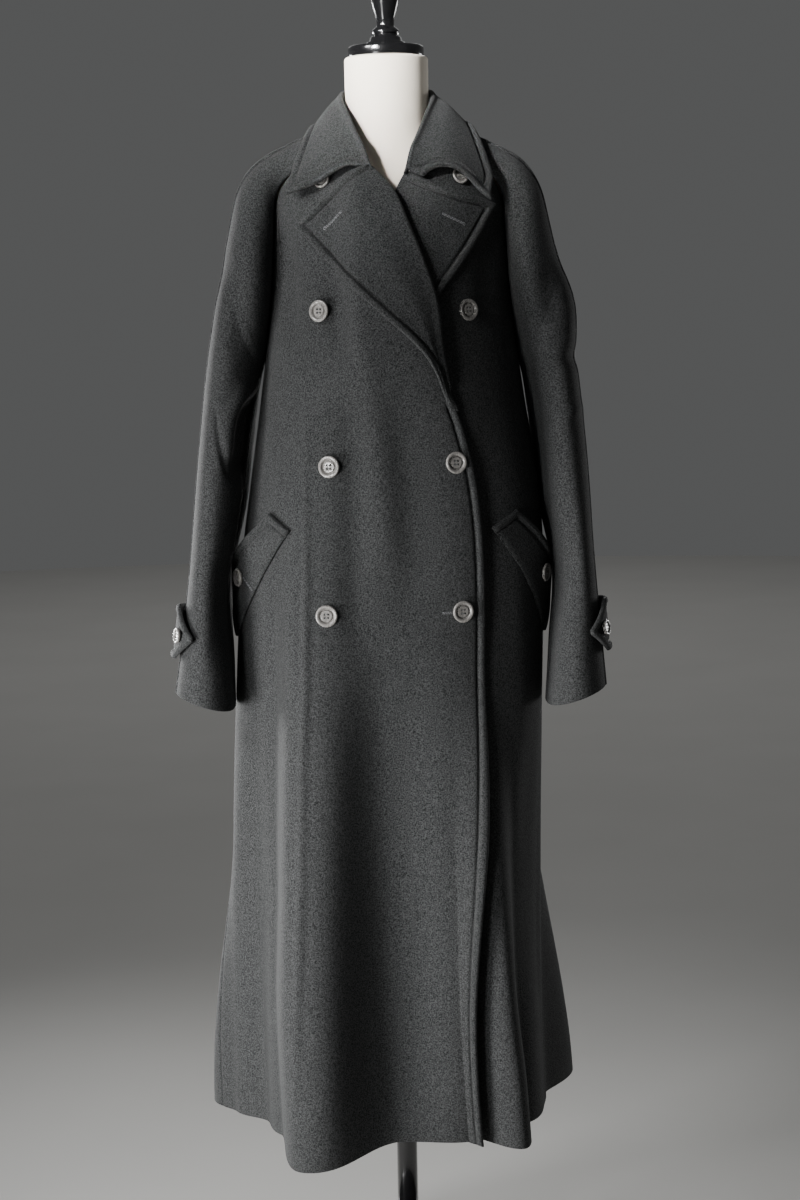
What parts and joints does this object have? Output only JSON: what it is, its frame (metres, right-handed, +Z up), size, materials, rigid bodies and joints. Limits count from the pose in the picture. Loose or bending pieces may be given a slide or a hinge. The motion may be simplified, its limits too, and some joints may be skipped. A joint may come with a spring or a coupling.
{
  "type": "long coat on dress form",
  "caption": "Long double-breasted dark wool coat with wide collar, lapels, raglan sleeves, slanted flap pockets and cuff tabs, worn by a limbless dress form on a pole and round base",
  "frame": {"origin": "centre of the base's underside, on the floor, on the form's axis", "axes": "+Z up, -Y the way the coat's front faces, +X the wearer's left"},
  "size_m": [0.5738, 0.4095, 1.7726],
  "materials": {
    "wool": "matte milled wool",
    "button": "polished horn-like",
    "form_cloth": "smooth stretched cotton",
    "stand": "gloss black"
  },
  "bodies": {
    "root": {"front_right": "wool", "front_left": "wool", "back": "wool", "sleeve_right_front": "wool", "sleeve_right_back": "wool", "sleeve_left_front": "wool", "sleeve_left_back": "wool", "collar": "wool", "lapel_right": "wool", "lapel_left": "wool", "pocket_flap_right": "wool", "pocket_flap_left": "wool", "cuff_tab_right": "wool", "cuff_tab_left": "wool", "button_collar_right": "button", "button_collar_left": "button", "button_chest_right": "button", "button_chest_left": "button", "button_waist_right": "button", "button_waist_left": "button", "button_hip_right": "button", "button_hip_left": "button", "button_pocket_right": "button", "button_pocket_left": "button", "button_cuff_right": "button", "button_cuff_left": "button", "form_torso": "form_cloth", "form_finial": "stand", "form_pole": "stand", "form_base": "stand"}
  },
  "joints": []
}
